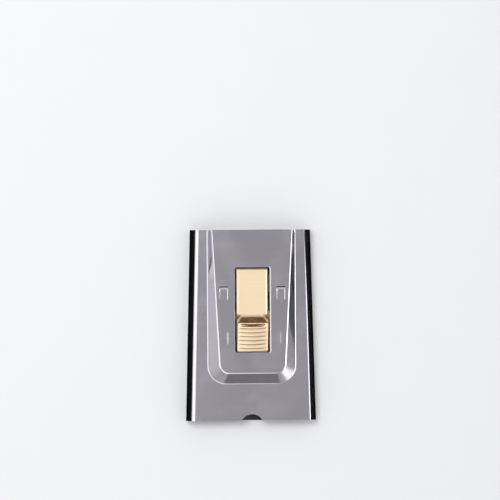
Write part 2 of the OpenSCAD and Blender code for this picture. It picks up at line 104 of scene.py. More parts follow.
class CaseSizes(bpy.types.PropertyGroup):
    """Sizes of the pressed case, as in the part's source."""

    length: metres("Length", "Case from mouth to rear edge", shell_high[1] - shell_low[1])
    thickness: metres("Thickness", "Case over its rolled sides", 6 * MM)
    sheet: metres("Sheet", "Thickness of the pressed sheet", 0.6 * MM)
    rear_width: metres("Rear Width", "Width at the rear edge", shell_high[0] - shell_low[0])
    flare: metres("Flare", "How much wider the rear is than the mouth", 3.6 * MM)
    lip: metres("Lip", "Width of the lips under the back plate", 5.5 * MM)
    notch_depth: metres("Notch Depth", "Depth of the round rear notch", 2.3 * MM)
    notch_radius: metres("Notch Radius", "Radius of the round rear notch", 4.5 * MM)
    edge_round: metres("Edge Round", "Rounding of the sheared sheet edges", 0.15 * MM)
    window_round: metres("Window Round", "Rounding of the window's edge", 0.27 * MM)


class ChannelSizes(bpy.types.PropertyGroup):
    """Sizes of the raised channel and of what is pressed into it."""

    foot_width: metres("Foot Width", "Width where the walls leave the flat", 33 * MM)
    rise: metres("Rise", "Height of the channel's top over the flat", 2.2 * MM)
    rear_gap: metres("Rear Gap", "Rear edge of the case to the channel's foot", 13.3 * MM)
    top_mouth_width: metres("Top Width at Mouth", "Flat top at the mouth", 29.3 * MM)
    top_rear_width: metres("Top Width at Rear", "Flat top at its rear edge", 23.4 * MM)
    rear_wall_run: metres("Rear Wall Run", "Run of the sloping rear wall", 4.4 * MM)
    foot_corner: metres("Foot Corner", "Radius of the foot's rear corners", 7 * MM)
    top_corner: metres("Top Corner", "Radius of the top's rear corners", 3.2 * MM)
    foot_bend: metres("Foot Bend", "Radius of the hollow bend at the foot", 0.9 * MM)
    top_bend: metres("Top Bend", "Radius of the top's edge at the mouth", 0.8 * MM)
    bend_growth: FloatProperty(name="Bend Growth", description="Growth of the bend with the run",
                               default=0.25, min=0, max=1)
    window_dip: metres("Window Dip", "Drop of the sheet at the window's edge", 0.035 * MM)
    window_width: metres("Window Width", "Width of the slide's window", 13 * MM)
    window_front: metres("Window Front", "Mouth to the window's front edge", 13.7 * MM)
    window_length: metres("Window Length", "Length of the slide's window", 31.302 * MM)
    window_corner: metres("Window Corner", "Radius of the window's corners", 0.6 * MM)
    catch_pitch: metres("Catch Pitch", "Between the middles of the lances", 21.2 * MM)
    catch_width: metres("Catch Width", "Width of each lance", 3.2 * MM)
    catch_length: metres("Catch Length", "Length of each lance", 4.7 * MM)
    catch_gap: metres("Catch Gap", "Window's front edge to the catching edge", 7.4 * MM)
    catch_slit: metres("Catch Slit", "Slit in front of each lance", 0.35 * MM)
    catch_depth: metres("Catch Depth", "Drop of each lance at its free edge", 0.26 * MM)
    dimple_pitch: metres("Dimple Pitch", "Between the two long dimples", 19.6 * MM)
    dimple_width: metres("Dimple Width", "Width of each long dimple", 1.8 * MM)
    dimple_length: metres("Dimple Length", "Length of each long dimple", 4.9 * MM)
    dimple_front: metres("Dimple Front", "Middle of the case to the dimples' fronts", -2.25 * MM)
    dimple_depth: metres("Dimple Depth", "Depth of each long dimple", 0.03 * MM)


class SlideSizes(bpy.types.PropertyGroup):
    """Sizes of the thumb slide."""

    width: metres("Width", "Width of the slide", 12.1 * MM)
    sheet: metres("Sheet", "Thickness of the slide's sheet", 0.5 * MM)
    apron_height: metres("Apron Height", "Height of the flat apron", 7.55 * MM)
    pad_length: metres("Pad Length", "Rear edge of the pad to its foot", 14.9 * MM)
    front_run: metres("Front Run", "Foot of the pad to its crest", 4.4 * MM)
    rise: metres("Rise", "Height of the crest over the apron", 2 * MM)
    wall_run: metres("Wall Run", "Run of the finger wall before the crest", 3.6 * MM)
    foot_radius: metres("Foot Radius", "Hollow at the pad's foot", 2.2 * MM)
    crest_radius: metres("Crest Radius", "Rounding of the pad's crest", 0.5 * MM)
    rear_rise: metres("Rear Rise", "Height of the rear edge over the apron", 0.6 * MM)
    edge_roll: metres("Edge Roll", "Rolled front and rear edges", 0.6 * MM)
    crown: metres("Crown", "Drop of the pad from its middle to its sides", 0.4 * MM)
    grooves: IntProperty(name="Grooves", description="Number of grooves across the pad",
                         default=7, min=1, max=12)
    groove_pitch: metres("Groove Pitch", "Between neighbouring grooves", 1.45 * MM)
    groove_depth: metres("Groove Depth", "Depth of the grooves", 0.2 * MM)
    groove_bow: metres("Groove Bow", "How far the grooves bow forward", 0.45 * MM)
    first_groove: metres("First Groove", "Half length of the deep first groove", 4.7 * MM)
    wing_height: metres("Wing Height", "Underside of the wings at rest", 5.39 * MM)
    press: metres("Press", "How far the slide presses in", 0.8 * MM)


class FinishColours(bpy.types.PropertyGroup):
    """Base colours of the metals and of the floor, and the brown of the painted shade on the slide.
    """

    nickel: tint("Nickel", "Bright nickel plate", (0.66, 0.64, 0.69))
    gold: tint("Satin Gold", "Pale satin gold plate", (0.97, 0.79, 0.53))
    # Painted shade: the brown laid where the slide's gold slopes steeply.
    painted_shade_brown: tint("Painted Shade Brown", "Brown of the gold in its hollows", (0.30, 0.15, 0.05))
    zinc: tint("Zinc", "Plain zinc plate of the inner sheet", (0.56, 0.57, 0.58))
    blade: tint("Blade Steel", "Ground blade steel", (0.60, 0.61, 0.62))
    spring: tint("Spring Steel", "Blued spring steel", (0.20, 0.23, 0.29))
    floor: tint("Floor", "Pale matte floor", (0.78, 0.78, 0.79))


class StageSizes(bpy.types.PropertyGroup):
    """The camera and the light tent round the scraper."""

    view_tilt: degrees("View Tilt", "How far the camera leans to the left", 8.3)
    view_roll: degrees("View Roll", "How far the camera is turned clockwise", 0.377)
    view_width: metres("View Width", "Width that the picture takes in", 183.7 * MM)
    view_rise: metres("View Rise", "How far the view centre lies to the mouth", 27.56 * MM)
    camera_distance: metres("Camera Distance", "Camera to the scraper", 2.0)
    tent_radius: metres("Tent Radius", "Scraper to the light tent", 1.2)


# Mesh helpers

WELD = 0.2e-6  # size of the cells whose points are joined


class SheetBuilder:
    """Collects the outer face of a sheet, joining points that lie on each other."""

    def __init__(self):
        self.bm = bmesh.new()
        self.known = {}
        self.weight = self.bm.edges.layers.float.new("bevel_weight_edge")

    def point(self, co):
        key = tuple(round(c / WELD) for c in co)
        if key not in self.known:
            self.known[key] = self.bm.verts.new(co)
        return self.known[key]

    def face(self, points):
        corners = list(dict.fromkeys(self.point(p) for p in points))
        if len(corners) > 2 and self.bm.faces.get(corners) is None:
            self.bm.faces.new(corners)

    def grid(self, rows):
        for a, b in zip(rows, rows[1:]):
            for i in range(len(a) - 1):
                self.face((a[i], a[i + 1], b[i + 1], b[i]))

    def fill(self, loops):
        """Fills the first loop, round the others, with as few faces as its flats need."""
        edges = []
        for loop in loops:
            corners = [self.point(p) for p in loop]
            for a, b in zip(corners, corners[1:] + corners[:1]):
                if a is not b:
                    edges.append(self.bm.edges.get((a, b)) or self.bm.edges.new((a, b)))
        edges = list(dict.fromkeys(edges))
        made = bmesh.ops.triangle_fill(self.bm, use_beauty=True, use_dissolve=False, edges=edges,
                                       normal=(0, 0, 1))["geom"]
        faces = {f for f in made if isinstance(f, bmesh.types.BMFace)}
        inner = [e for e in made if isinstance(e, bmesh.types.BMEdge)
                 and len(e.link_faces) == 2 and faces.issuperset(e.link_faces)]
        bmesh.ops.dissolve_limit(self.bm, angle_limit=0.02, edges=inner, verts=[],
                                 use_dissolve_boundaries=False)

    def weigh(self, loop, weight):
        """Says how much of the bevel's width the edges of a loop get."""
        corners = [self.point(p) for p in loop]
        for a, b in zip(corners, corners[1:]):
            edge = self.bm.edges.get((a, b))
            if edge:
                edge[self.weight] = weight

    def weigh_rim(self, weight):
        for edge in self.bm.edges:
            if edge.is_boundary and edge[self.weight] == 0:
                edge[self.weight] = weight

    def object(self, name, upward=True):
        bmesh.ops.recalc_face_normals(self.bm, faces=self.bm.faces[:])
        top = max(self.bm.faces, key=lambda f: f.calc_center_median().z)
        if (top.normal.z > 0) != upward:
            bmesh.ops.reverse_faces(self.bm, faces=self.bm.faces[:])
        return new_object(name, self.bm)


def new_object(name, bm):
    mesh = bpy.data.meshes.new(name)
    bm.to_mesh(mesh)
    bm.free()
    for polygon in mesh.polygons:
        polygon.use_smooth = True
    obj = bpy.data.objects.new(name, mesh)
    bpy.context.scene.collection.objects.link(obj)
    return obj


def sheet_modifiers(obj, thickness, edge_round):
    """Gives a sheet its thickness under its outer face, and finishes its edges."""
    solid = obj.modifiers.new("Sheet", "SOLIDIFY")
    solid.thickness = thickness
    solid.offset = -1
    solid.use_even_offset = True
    edge_modifiers(obj, edge_round)


def round_edges(obj, width, segments=2, sharp_angle=40):
    bevel = obj.modifiers.new("Sheared Edge", "BEVEL")
    bevel.width = width
    bevel.segments = segments
    obj.data.set_sharp_from_angle(angle=math.radians(sharp_angle))
    return bevel


def edge_modifiers(obj, width, sharp_angle=40):
    """Rounds the weighed edges and keeps the flats flat."""
    bevel = round_edges(obj, width, 3, sharp_angle)
    bevel.limit_method = "WEIGHT"
    bevel.use_clamp_overlap = True
    shade = obj.modifiers.new("Flat Shading", "WEIGHTED_NORMAL")
    shade.mode = "FACE_AREA"
    shade.weight = 90
    shade.keep_sharp = True


def bent_wall(run, rise, foot_r, top_r, bend_steps=8, straight_steps=4):
    """Points (distance in, height) of a wall that is hollow at its foot and round at its top."""
    bends = foot_r + top_r
    angle = math.atan2(rise - bends, run) + math.asin(bends / math.hypot(run, rise - bends))
    turns = [angle * i / bend_steps for i in range(bend_steps + 1)]
    foot = [(foot_r * math.sin(a), foot_r * (1 - math.cos(a))) for a in turns]
    top = [(run - top_r * math.sin(a), rise - top_r * (1 - math.cos(a))) for a in reversed(turns)]
    return foot + between(foot[-1], top[0], straight_steps)[1:] + top


def between(a, b, steps):
    """Points from a up to, and without, b."""
    return [tuple(p + (q - p) * i / steps for p, q in zip(a, b)) for i in range(steps)]


def arc(cx, cy, r, start, end, steps):
    """Points of an arc from one angle to another, in degrees."""
    angles = [math.radians(start + (end - start) * i / steps) for i in range(steps + 1)]
    return [(cx + r * math.cos(a), cy + r * math.sin(a)) for a in angles]


def quarter_turn(steps):
    """Angles from 0 to 90 degrees."""
    return [math.radians(90 * i / steps) for i in range(steps + 1)]


def smooth(t):
    """0 below 0, 1 above 1, and an even curve between them."""
    t = min(1.0, max(0.0, t))
    return t * t * (3 - 2 * t)


# Finishes

DARK_TONE = 0.90  # the darkest tone of a metal, as a share of its colour
STREAK_SHARE = 0.3  # how far the grain's streaks go to it
PATCH_SHARE = 0.35  # how far the wiped patches go to it
BEVEL_START = 1.26 * MM  # edge of the blade to where its ground bevel starts
BEVEL_FULL = 1.16 * MM  # edge of the blade to where it is fully bright


class NodeMaker:
    """Adds nodes to a tree in columns, and links them."""

    def __init__(self, tree):
        self.tree = tree
        self.column = 0

    def add(self, kind, **settings):
        node = self.tree.nodes.new(kind)
        node.location = (self.column * 200, 0)
        self.column += 1
        for name, value in settings.items():
            setattr(node, name, value)
        return node

    def feed(self, value, socket):
        if isinstance(value, bpy.types.NodeSocket):
            self.tree.links.new(value, socket)
        else:
            socket.default_value = value

    def feed_all(self, node, **values):
        """Feeds inputs whose names are given with _ for a space."""
        for name, value in values.items():
            self.feed(value, node.inputs[name.replace("_", " ")])
        return node

    def math(self, operation, a, b=0.0, clamp=False):
        node = self.add("ShaderNodeMath", operation=operation, use_clamp=clamp)
        for socket, value in zip(node.inputs, (a, b)):
            self.feed(value, socket)
        return node.outputs[0]

    def place(self, of="Object"):
        """Coordinates in the object's own metres, or another kind of them."""
        return self.add("ShaderNodeTexCoord").outputs[of]

    def scaled(self, vector, factor):
        node = self.add("ShaderNodeVectorMath", operation="SCALE")
        return self.feed_all(node, Vector=vector, Scale=factor).outputs[0]

    def stretched(self, vector, x, y, z, turn=0.0):
        """Coordinates times x, y and z, turned round Z by some degrees."""
        node = self.add("ShaderNodeMapping")
        self.feed_all(node, Vector=vector, Scale=(x, y, z), Rotation=(0, 0, math.radians(turn)))
        return node.outputs["Vector"]

    def parts(self, vector):
        node = self.add("ShaderNodeSeparateXYZ")
        return self.feed_all(node, Vector=vector).outputs

    def noise(self, vector, scale=1.0, detail=2.0, roughness=0.5):
        node = self.add("ShaderNodeTexNoise")
        self.feed_all(node, Vector=vector, Scale=scale, Detail=detail, Roughness=roughness)
        return node.outputs["Fac"]

    def ramp(self, value, low, high, to_low=0.0, to_high=1.0):
        """A soft step from to_low, where the value is low, to to_high, where it is high."""
        node = self.add("ShaderNodeMapRange", interpolation_type="SMOOTHSTEP")
        self.feed_all(node, Value=value, From_Min=low, From_Max=high, To_Min=to_low,
                      To_Max=to_high)
        return node.outputs["Result"]

    def mix(self, factor, a, b):
        """Colour a where the factor is 0, and b where it is 1."""
        node = self.add("ShaderNodeMix", data_type="RGBA", blend_type="MIX")
        return self.feed_all(node, Factor=factor, A=a, B=b).outputs["Result"]

    def surface(self, shader):
        out = self.add("ShaderNodeOutputMaterial")
        self.feed(shader.outputs[0], out.inputs["Surface"])


def new_group(name, inputs, outputs):
    """A shader node group with float sockets, its inner maker and its two ends."""
    group = bpy.data.node_groups.new(name, "ShaderNodeTree")
    for socket, default in inputs.items():
        group.interface.new_socket(socket, in_out="INPUT",
                                   socket_type="NodeSocketFloat").default_value = default
    for socket in outputs:
        group.interface.new_socket(socket, in_out="OUTPUT", socket_type="NodeSocketFloat")
    make = NodeMaker(group)
    return group, make, make.add("NodeGroupInput"), make.add("NodeGroupOutput")


def new_material(name):
    """An empty node material and its maker."""
    material = bpy.data.materials.new(name)
    material.use_nodes = True
    material.node_tree.nodes.clear()
    return material, NodeMaker(material.node_tree)


def rolled_grain_group():
    """Fine grain that runs across the sheet, and the broader streaks in it."""
    name = "Rolled Grain"
    if name in bpy.data.node_groups:
        return bpy.data.node_groups[name]
    group, make, start, end = new_group(name, {"Grain Size": 1.0}, ("Height", "Streak"))
    place = make.scaled(make.place(), start.outputs["Grain Size"])
    fine = make.noise(make.stretched(place, x=260, y=9000, z=9000), detail=3.0, roughness=0.6)
    broad = make.noise(make.stretched(place, x=22, y=900, z=900))
    height = make.math("ADD", make.math("MULTIPLY", fine, 0.7), make.math("MULTIPLY", broad, 0.3))
    make.feed_all(end, Height=height, Streak=make.ramp(broad, 0.3, 0.7))
    return group


def handling_group():
    """Faint wiped patches and short hairline scratches from handling."""
    name = "Handling Marks"
    if name in bpy.data.node_groups:
        return bpy.data.node_groups[name]
    group, make, start, end = new_group(name, {"Patch Size": 1.0}, ("Patches", "Scratches"))
    place = make.scaled(make.place(), start.outputs["Patch Size"])
    patches = make.noise(place, scale=90.0, detail=3.0, roughness=0.55)
    hairs = make.stretched(place, x=2600, y=60, z=2600, turn=24)
    hairs = make.noise(hairs, detail=1.0, roughness=0.4)
    gate = make.noise(place, scale=240.0, detail=1.0)
    lines = make.math("MULTIPLY", make.ramp(hairs, 0.70, 0.76), make.ramp(gate, 0.52, 0.62))
    make.feed_all(end, Patches=make.ramp(patches, 0.42, 0.68), Scratches=lines)
    return group


def metal(name, base, rough, rough_spread, grain_size, bump, scratch, extra=None):
    """A plated or ground metal whose roughness, tone and height follow its grain and handling."""
    if name in bpy.data.materials:
        return bpy.data.materials[name]
    colour = getattr(bpy.context.scene.scraper_finish, base)
    material, make = new_material(name)
    grain = make.add("ShaderNodeGroup", node_tree=rolled_grain_group())
    grain.inputs["Grain Size"].default_value = grain_size
    marks = make.add("ShaderNodeGroup", node_tree=handling_group())
    marks.inputs["Patch Size"].default_value = 1.0
    patches = marks.outputs["Patches"]
    shade = make.math("ADD", make.math("MULTIPLY", grain.outputs["Streak"], STREAK_SHARE),
                      make.math("MULTIPLY", patches, PATCH_SHARE), clamp=True)
    colour_out = make.mix(shade, (*colour, 1), (*[c * DARK_TONE for c in colour], 1))
    roughness = make.math("ADD", rough, make.math("MULTIPLY", patches, rough_spread))
    roughness = make.math("ADD", roughness,
                          make.math("MULTIPLY", marks.outputs["Scratches"], scratch))
    height = grain.outputs["Height"]
    if extra:
        colour_out, roughness, height = extra(make, colour_out, roughness, height)
    relief = make.add("ShaderNodeBump")
    make.feed_all(relief, Strength=1.0, Distance=bump, Height=height)
    shader = make.add("ShaderNodeBsdfPrincipled")
    make.feed_all(shader, Metallic=1.0, Base_Color=colour_out, Roughness=roughness,
                  Normal=relief.outputs["Normal"])
    make.surface(shader)
    return material


def nickel():
    return metal("Nickel Plate", "nickel", rough=0.14, rough_spread=0.035, grain_size=1.0,
                 bump=0.5e-6, scratch=0.03)


def base_nickel():
    # Its extra step paints shade on the plate's inward face.
    return metal("Nickel Plate Outside", "nickel", rough=0.16, rough_spread=0.035,
                 grain_size=1.0, bump=0.5e-6, scratch=0.03, extra=painted_shade_inside)


def painted_shade_inside(make, colour, roughness, height):
    """Painted shade: near black on the side that faces into the case, for the shade inside it;
    rougher there as well.
    """
    inside = make.ramp(make.parts(make.place())["Z"], 0.35 * MM, 0.5 * MM)
    # Painted shade: the inward face is turned near black.
    dark = make.mix(inside, colour, (0.05, 0.048, 0.045, 1))
    rough = make.math("ADD", roughness, make.math("MULTIPLY", inside, 0.3))
    return dark, rough, height


def zinc():
    return metal("Zinc Plate", "zinc", rough=0.30, rough_spread=0.08, grain_size=1.0,
                 bump=1.2e-6, scratch=0.05)


def spring_steel():
    return metal("Spring Steel", "spring", rough=0.28, rough_spread=0.06, grain_size=1.0,
                 bump=1.0e-6, scratch=0.04)


def blade_steel():
    return metal("Blade Steel", "blade", rough=0.26, rough_spread=0.06, grain_size=1.2,
                 bump=1.0e-6, scratch=0.05, extra=ground_edge)


def ground_edge(make, colour, roughness, height):
    """Bright cross-ground bevel and a dull oiled body on the blade."""
    place = make.place()
    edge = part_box("blade")[1][1]
    bevel = make.ramp(make.parts(place)["Y"], edge - BEVEL_START, edge - BEVEL_FULL)
    bright = make.mix(bevel, colour, (0.78, 0.79, 0.80, 1))
    smoother = make.math("SUBTRACT", roughness, make.math("MULTIPLY", bevel, 0.12))
    lines = make.noise(make.stretched(place, x=300, y=14000, z=300), roughness=0.6)
    return bright, smoother, make.math("ADD", height, make.math("MULTIPLY", bevel, lines))


def satin_gold():
    # Its extra step paints brown shade on the slide's steep faces.
    return metal("Satin Gold", "gold", rough=0.34, rough_spread=0.05, grain_size=1.4,
                 bump=1.6e-6, scratch=0.02, extra=painted_shade_on_slopes)


def painted_shade_on_slopes(make, colour, roughness, height):
    """Painted shade: brown on the finger wall, on the grooves' steep sides, and down the skirts,
    where the gold slopes steeply, in soft clouds.
    """
    scene = bpy.context.scene
    apron = scene.scraper_slide.apron_height
    facing = make.parts(make.place("Normal"))
    raised = make.ramp(make.parts(make.place())["Z"], apron + 0.15 * MM, apron + 0.55 * MM)
    sloping = make.ramp(make.math("ABSOLUTE", facing["Y"]), 0.30, 0.52)
    wall = make.math("MULTIPLY", sloping, raised)
    aside = make.ramp(make.math("ABSOLUTE", facing["X"]), 0.08, 0.6, to_high=0.75)
    cloud = make.ramp(make.noise(make.place(), scale=700.0), 0.2, 0.7, to_low=0.8)
    shade_amount = make.math("MULTIPLY", make.math("MAXIMUM", wall, aside), cloud, clamp=True)
    # Painted shade: steep faces of the gold are turned brown.
    shaded_gold = make.mix(shade_amount, colour, (*scene.scraper_finish.painted_shade_brown, 1))
    rough = make.math("ADD", roughness, make.math("MULTIPLY", shade_amount, 0.08))
    return shaded_gold, rough, height


# The case

LANCE_BEND = 0.3 * MM  # width of the bends at a lance's root and sides
LANCE_CREASE = 0.03 * MM  # drop at its root
LANCE_CURL = 8  # the higher, the later it curls down to its free end
DIMPLE_RIM = 0.25 * MM  # soft rim round a dimple
DIMPLE_FULLNESS = 0.9  # the lower, the fuller a dimple
WINDOW_HEM = 0.7 * MM  # width of the sheet that dips to the window
BACK_PLATE_GAP = 0.1 * MM  # seam between a lip and the back plate
BACK_PLATE_INSET = 0.05 * MM  # axis of a rolled side to the back plate's edge
JOGGLE_RUN = 0.85 * MM  # run of the back plate's step down between the lips


def half_axis(case, y):
    """Distance of a rolled side's axis from the middle of the case at y."""
    roll = case.thickness / 2
    mouth = case.rear_width - case.flare
    return mouth / 2 - roll + (case.length / 2 - y) * case.flare / 2 / case.length


def side_lean(case):
    """Cosine of the angle at which the rolled sides run, for steps measured square to them."""
    return math.cos(math.atan(case.flare / 2 / case.length))


def channel_outline(case, half, rear_y, r, slope, side_steps=30, corner_steps=18, rear_steps=12):
    """Outline of the channel from the mouth's right, round the rear, to the mouth's left."""
    half_l = case.length / 2
    cy = rear_y + r
    cx = half + r * math.tan(slope) - r / math.cos(slope)
    tangent = (cx + r * math.cos(slope), cy - r * math.sin(slope))
    front = (half + (half_l - rear_y) * math.tan(slope), half_l)
    right = between(front, tangent, side_steps)
    right += arc(cx, cy, r, -math.degrees(slope), -90, corner_steps)
    rear = [(cx * (1 - 2 * i / rear_steps), rear_y) for i in range(1, rear_steps)]
    return right + rear + [(-x, y) for x, y in reversed(right)]


def rounded_rect(cx, cy, w, l, r, steps=8):
    """Corners of a rounded rectangle, anticlockwise from the right end of its front edge."""
    loop = []
    for sx, sy, start in ((1, 1, 0), (-1, 1, 90), (-1, -1, 180), (1, -1, 270)):
        loop += arc(cx + sx * (w / 2 - r), cy + sy * (l / 2 - r), r, start, start + 90, steps)
    return loop


def add_rolled_side(sheet, case, side, steps=48):
    """One half-round side and the lip that turns in under the back plate."""
    roll = case.thickness / 2
    ends = (case.length / 2, -case.length / 2)
    turns = [math.radians(90 - 180 * i / steps) for i in range(steps + 1)]

    def row(across, z):
        return [(side * (half_axis(case, y) + across / side_lean(case)), y, z) for y in ends]

    rows = [row(roll * math.cos(a), roll * (1 + math.sin(a))) for a in turns]
    sheet.grid(rows + [row(-case.lip, 0)])


def add_walls(sheet, case, channel, foot, crest):
    """The channel's walls from foot to crest. The longer their run, the rounder their top."""
    shortest = math.dist(foot[0], crest[0])
    walls = []
    for a, b in zip(foot, crest):
        run = math.dist(a, b)
        step = ((b[0] - a[0]) / run, (b[1] - a[1]) / run)
        top_r = channel.top_bend + channel.bend_growth * (run - shortest)
        walls.append([(a[0] + step[0] * d, a[1] + step[1] * d, case.thickness + h)
                      for d, h in bent_wall(run, channel.rise, channel.foot_bend, top_r)])
    sheet.grid(walls)


def add_window_hem(sheet, case, channel, top, steps=7):
    """The sheet round the window, which dips to its edge. Gives its inner and outer loops."""
    middle = case.length / 2 - channel.window_front - channel.window_length / 2
    rings = []
    for i in range(steps + 1):
        out = WINDOW_HEM * i / steps
        loop = rounded_rect(0, middle, channel.window_width + 2 * out,
                            channel.window_length + 2 * out, channel.window_corner + out)
        rings.append([(*p, top - channel.window_dip * (1 - i / steps) ** 2) for p in loop])
    across = list(zip(*rings))
    sheet.grid(across + across[:1])
    return rings[0], [p[:2] for p in rings[-1]]


def add_lance(sheet, case, channel, top, side):
    """A tongue pressed down to its free end, towards the mouth. Gives the loop it leaves."""
    middle = side * channel.catch_pitch / 2
    half = channel.catch_width / 2
    free = case.length / 2 - channel.window_front - channel.catch_gap
    root = free - channel.catch_length
    right = [half - LANCE_BEND * (1 - i / 10) for i in range(11)]
    flat = [(half - LANCE_BEND) * (i / 6 - 1) for i in range(1, 12)]
    xs = [round(x, 9) for x in [-x for x in reversed(right)] + flat + right]
    ys = [root + LANCE_BEND * i / 6 for i in range(6)]
    ys += [root + LANCE_BEND + (free - root - LANCE_BEND) * i / 30 for i in range(31)]

    def drop(x, y):
        crease = LANCE_CREASE * smooth((y - root) / LANCE_BEND)
        slope = channel.catch_depth * ((y - root) / (free - root)) ** LANCE_CURL
        return smooth((half - abs(x)) / LANCE_BEND) * (crease + slope)

    sheet.grid([[(middle + x, y, top - drop(x, y)) for x in xs] for y in ys])
    front = free + channel.catch_slit
    rear = [(middle + x, root) for x in xs]
    right = [(middle + half, y) for y in ys[1:]]
    slit = [(middle + half, front), (middle - half, front), (middle - half, free)]
    left = [(middle - half, y) for y in reversed(ys[1:-1])]
    return rear + right + slit + left


def add_dimple(sheet, channel, top, side, columns=24, rows=56):
    """A long shallow dimple. Gives the loop round it."""
    middle = side * channel.dimple_pitch / 2
    r = channel.dimple_width / 2
    rim = r + DIMPLE_RIM
    ends = (channel.dimple_front - channel.dimple_length + r, channel.dimple_front - r)
    low, high = ends[0] - rim, ends[1] + rim
    xs = [rim * (2 * i / columns - 1) for i in range(columns + 1)]
    ys = [low + (high - low) * j / rows for j in range(rows + 1)]

    def height(i, j):
        if i in (0, columns) or j in (0, rows):
            return top
        d = math.hypot(xs[i], ys[j] - min(max(ys[j], ends[0]), ends[1]))
        return top - channel.dimple_depth * smooth(1 - d / rim) ** DIMPLE_FULLNESS

    sheet.grid([[(middle + x, y, height(i, j)) for i, x in enumerate(xs)]
                for j, y in enumerate(ys)])
    rear = [(middle + x, low) for x in xs]
    right = [(middle + xs[-1], y) for y in ys[1:]]
    front = [(middle + x, high) for x in reversed(xs[:-1])]
    left = [(middle + xs[0], y) for y in reversed(ys[1:-1])]
    return rear + right + front + left


class MESH_OT_scraper_case_cover(bpy.types.Operator):
    """Press the case cover: rolled sides, raised channel, window, lances, dimples and notch"""

    bl_idname = "mesh.scraper_case_cover"
    bl_label = "Case Cover"

    def execute(self, context):
        case = context.scene.scraper_case
        channel = context.scene.scraper_channel
        half_l = case.length / 2
        flat = case.thickness
        top = flat + channel.rise
        foot_rear = channel.rear_gap - half_l
        top_rear = foot_rear + channel.rear_wall_run
        widening = (channel.top_mouth_width - channel.top_rear_width) / 2
        slope = math.atan(widening / (half_l - top_rear))
        foot = channel_outline(case, channel.foot_width / 2, foot_rear, channel.foot_corner, 0)
        crest = channel_outline(case, channel.top_rear_width / 2, top_rear, channel.top_corner,
                                slope)
        sheet = SheetBuilder()
        for side in (1, -1):
            add_rolled_side(sheet, case, side)
        add_walls(sheet, case, channel, foot, crest)

        r = case.notch_radius
        start = math.degrees(math.asin((r - case.notch_depth) / r))
        notch = arc(0, -half_l - r + case.notch_depth, r, 180 - start, start, 24)
        rear, mouth = half_axis(case, -half_l), half_axis(case, half_l)
        outer = [(rear, -half_l), (mouth, half_l)] + foot
        outer += [(-mouth, half_l), (-rear, -half_l)] + notch
        sheet.fill([[(x, y, flat) for x, y in outer]])

        window, collar = add_window_hem(sheet, case, channel, top)
        holes = [collar]
        for side in (1, -1):
            holes.append(add_lance(sheet, case, channel, top, side))
            holes.append(add_dimple(sheet, channel, top, side))
        sheet.fill([[(x, y, top) for x, y in loop] for loop in [crest] + holes])
        sheet.weigh(window + window[:1], 1.0)
        sheet.weigh_rim(case.edge_round / case.window_round)

        cover = sheet.object("case_cover")
        sheet_modifiers(cover, case.sheet, case.window_round)
        cover.data.materials.append(nickel())
        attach(cover, CASE)
        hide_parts("front_shell")
        return {"FINISHED"}


class MESH_OT_scraper_base_sheet(bpy.types.Operator):
    """Lay the tapered back plate, joggled down flush between the lips"""

    bl_idname = "mesh.scraper_base_sheet"
    bl_label = "Back Plate"

    def execute(self, context):
        case = context.scene.scraper_case
        ends = (case.length / 2, -case.length / 2)
        start = case.lip + BACK_PLATE_GAP
        steps = 10
        profile = [(BACK_PLATE_INSET, case.sheet)]
        profile += [(start + JOGGLE_RUN * i / steps, case.sheet * (1 - smooth(i / steps)))
                    for i in range(steps + 1)]
        right = [[(half_axis(case, y) - a / side_lean(case), y, z) for y in ends]
                 for a, z in profile]
        left = [[(-x, y, z) for x, y, z in row] for row in reversed(right)]
        sheet = SheetBuilder()
        sheet.grid(right + left)
        sheet.weigh_rim(0.5)
        base = sheet.object("base_sheet", upward=False)
        sheet_modifiers(base, case.sheet, 0.1 * MM)
        base.data.materials.append(base_nickel())
        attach(base, CASE)
        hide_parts("back_plate")
        return {"FINISHED"}


# The thumb slide

SKIRT_DEPTH = 1.2 * MM  # apron to the edge of the turned-down skirts
SHOULDER = 0.6 * MM  # height of the rounding over the apron's skirts
SHOULDER_GROWTH = 0.3 * MM  # how much higher it is over the pad's skirts
APRON_SPREAD = 2  # its width over the apron's skirts, times its height
PAD_SPREAD = 0.7  # its width over the pad's skirts, times its height
GROOVE_LEAD = 0.75 * MM  # crest to the first groove
GROOVE_START = 0.4 * MM  # crest to the full depth of grooves
GROOVE_MARGIN = 0.3 * MM  # side of the pad to the grooves' ends
GROOVE_FADE = 1.4 * MM  # length of a groove's fading end
GROOVE_SHARPNESS = 1.6  # the higher, the sharper the grooves' bottoms
FIRST_GROOVE_FADE = 0.9 * MM  # length of the first groove's fading end
FIRST_GROOVE_DEPTH = 2.4  # depth of the first groove, times the others' depth
SCOOP_INNER = 3.2 * MM  # middle to the scoops, at the finger wall's foot
SCOOP_SPREAD = 2.3 * MM  # how much farther out they start at the crest
SCOOP_SIDE = 1.0 * MM  # width of their slope


def pad_marks(slide):
    """Places along Y of the pad's crest and of the finger wall's foot, and the skirts' edge."""
    crest = slide_low[1] + slide.pad_length - slide.front_run
    return crest, crest + slide.wall_run, slide.apron_height - SKIRT_DEPTH


